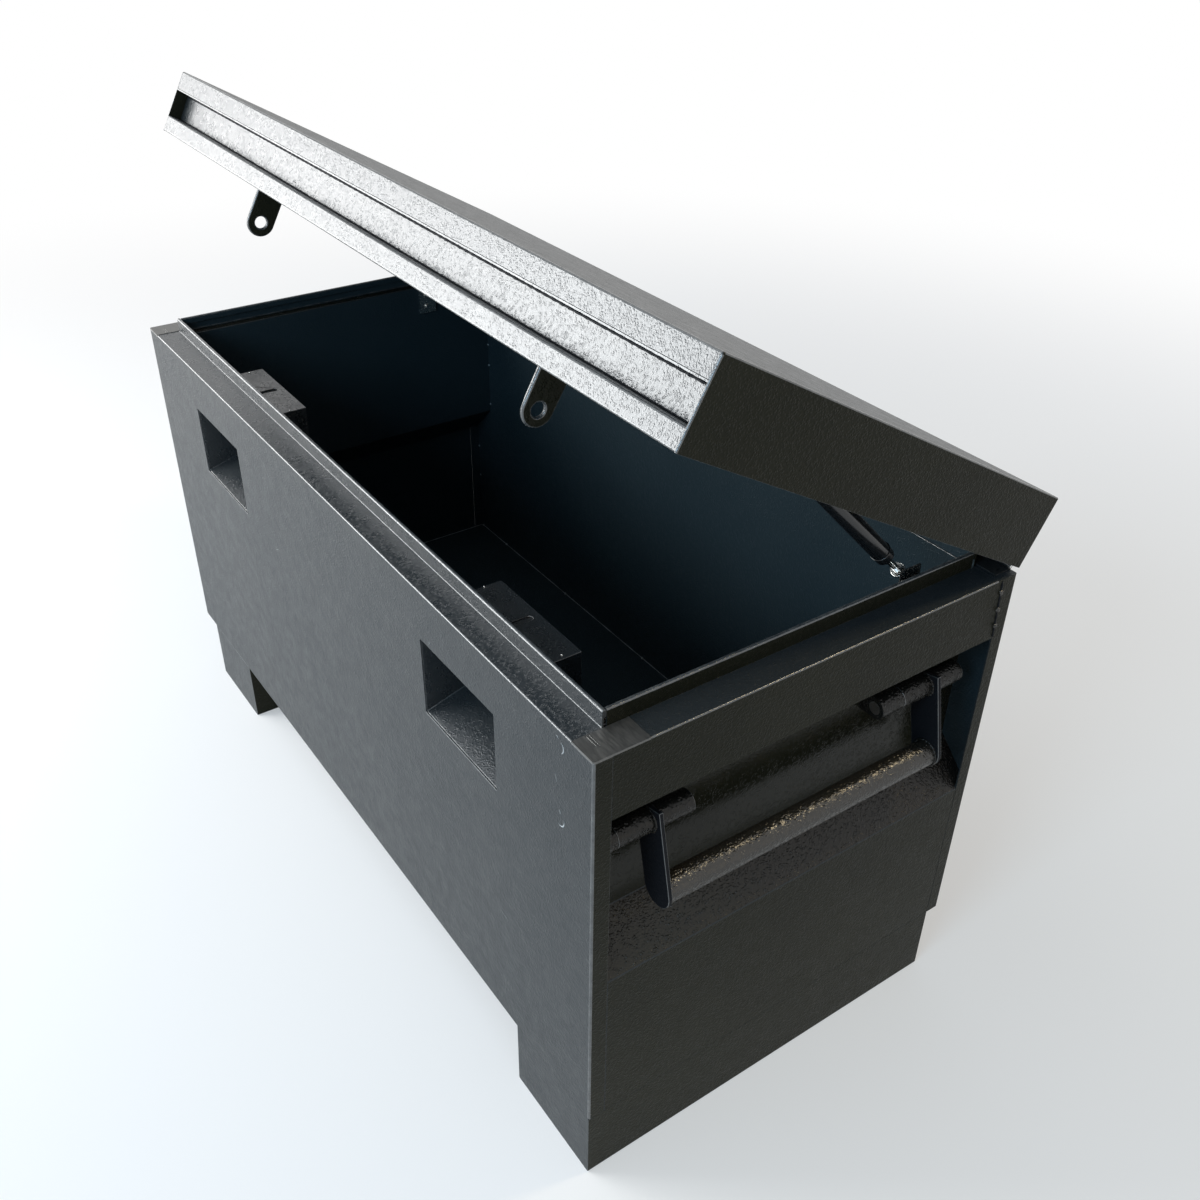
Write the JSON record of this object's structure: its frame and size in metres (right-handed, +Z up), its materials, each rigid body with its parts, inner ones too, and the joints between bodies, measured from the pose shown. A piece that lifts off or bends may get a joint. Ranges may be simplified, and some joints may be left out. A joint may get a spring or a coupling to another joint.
{
  "type": "jobsite box",
  "caption": "Steel site storage box on skids with a hinged channel-front lid, gas struts, drop handles in end recesses and recessed padlock windows.",
  "frame": {"origin": "on the floor, at the middle of the whole box's outline with its lid part open", "axes": "+X along the length, +Y from the front with the padlock windows to the hinged back, +Z up"},
  "size_m": [1.2484, 0.613, 0.9955],
  "materials": {
    "charcoal_coat": "satin hammer-textured powder coat, charcoal",
    "ground_coat": "thin grey coat over steel ground smooth",
    "zinc_plate": "zinc plated",
    "bright_rod": "polished rod",
    "strut_black": "smooth black enamel",
    "pin_steel": "plain steel"
  },
  "bodies": {
    "box": {"front_panel": "charcoal_coat", "rear_panel": "charcoal_coat", "floor_panel": "charcoal_coat", "hinge_leaf_body": "zinc_plate", "hinge_pin": "zinc_plate", "skid_right": "charcoal_coat", "skid_left": "charcoal_coat", "side_panel_right": "charcoal_coat", "top_rail_right": "charcoal_coat", "corner_plate_right": "ground_coat", "lock_box_right": "charcoal_coat", "strut_bracket_body_right": "zinc_plate", "strut_stud_body_right": "zinc_plate", "strut_screws_right": "zinc_plate", "handle_lug_front_right": "charcoal_coat", "handle_pin_front_right": "pin_steel", "handle_lug_rear_right": "charcoal_coat", "handle_pin_rear_right": "pin_steel", "side_panel_left": "charcoal_coat", "top_rail_left": "charcoal_coat", "corner_plate_left": "ground_coat", "lock_box_left": "charcoal_coat", "strut_bracket_body_left": "zinc_plate", "strut_stud_body_left": "zinc_plate", "strut_screws_left": "zinc_plate", "handle_lug_front_left": "charcoal_coat", "handle_pin_front_left": "pin_steel", "handle_lug_rear_left": "charcoal_coat", "handle_pin_rear_left": "pin_steel"},
    "lid": {"lid_top": "charcoal_coat", "lid_front_channel": "charcoal_coat", "hinge_leaf_lid": "zinc_plate", "lid_side_right": "charcoal_coat", "hasp_tab_right": "charcoal_coat", "strut_bracket_lid_right": "zinc_plate", "strut_stud_lid_right": "zinc_plate", "lid_side_left": "charcoal_coat", "hasp_tab_left": "charcoal_coat", "strut_bracket_lid_left": "zinc_plate", "strut_stud_lid_left": "zinc_plate"},
    "strut_rod_right": {"strut_socket_right": "zinc_plate", "strut_rod_right": "bright_rod"},
    "strut_tube_right": {"strut_guide_right": "strut_black", "strut_tube_right": "strut_black", "strut_end_right": "strut_black"},
    "handle_right": {"handle_bar_right": "charcoal_coat", "handle_arm_front_right": "charcoal_coat", "handle_sleeve_front_right": "charcoal_coat", "handle_arm_rear_right": "charcoal_coat", "handle_sleeve_rear_right": "charcoal_coat"},
    "strut_rod_left": {"strut_socket_left": "zinc_plate", "strut_rod_left": "bright_rod"},
    "strut_tube_left": {"strut_guide_left": "strut_black", "strut_tube_left": "strut_black", "strut_end_left": "strut_black"},
    "handle_left": {"handle_bar_left": "charcoal_coat", "handle_arm_front_left": "charcoal_coat", "handle_sleeve_front_left": "charcoal_coat", "handle_arm_rear_left": "charcoal_coat", "handle_sleeve_rear_left": "charcoal_coat"}
  },
  "joints": [
    {"name": "lid_hinge", "type": "hinge", "parent": "box", "child": "lid", "pos_m": [0, 0.2635, 0.6392], "axis": [-1, 0, 0], "range_deg": [-29.85, 40.7]},
    {"name": "strut_swing_right", "type": "hinge", "parent": "box", "child": "strut_rod_right", "pos_m": [0.54, 0.1461, 0.644], "axis": [-1, 0, 0], "range_deg": [-34.6, 47.2]},
    {"name": "strut_slide_right", "type": "slide", "parent": "strut_rod_right", "child": "strut_tube_right", "axis": [0, -0.6975, 0.7166], "range_m": [-0.0306, 0.0418]},
    {"name": "handle_swing_right", "type": "hinge", "parent": "box", "child": "handle_right", "pos_m": [0.584, -0.0215, 0.5025], "axis": [0, -1, 0], "range_deg": [-12.9, 105]},
    {"name": "strut_swing_left", "type": "hinge", "parent": "box", "child": "strut_rod_left", "pos_m": [-0.54, 0.1461, 0.644], "axis": [-1, 0, 0], "range_deg": [-34.6, 47.2]},
    {"name": "strut_slide_left", "type": "slide", "parent": "strut_rod_left", "child": "strut_tube_left", "axis": [0, -0.6975, 0.7166], "range_m": [-0.0306, 0.0418]},
    {"name": "handle_swing_left", "type": "hinge", "parent": "box", "child": "handle_left", "pos_m": [-0.584, -0.0215, 0.5025], "axis": [0, 1, 0], "range_deg": [-12.9, 105]}
  ],
  "couplings": [
    {"joint": "strut_swing_right", "follows": "lid_hinge", "ratio": 1.15},
    {"joint": "strut_slide_right", "follows": "lid_hinge", "m_per_rad": 0.058442},
    {"joint": "strut_swing_left", "follows": "lid_hinge", "ratio": 1.15},
    {"joint": "strut_slide_left", "follows": "lid_hinge", "m_per_rad": 0.058442}
  ]
}
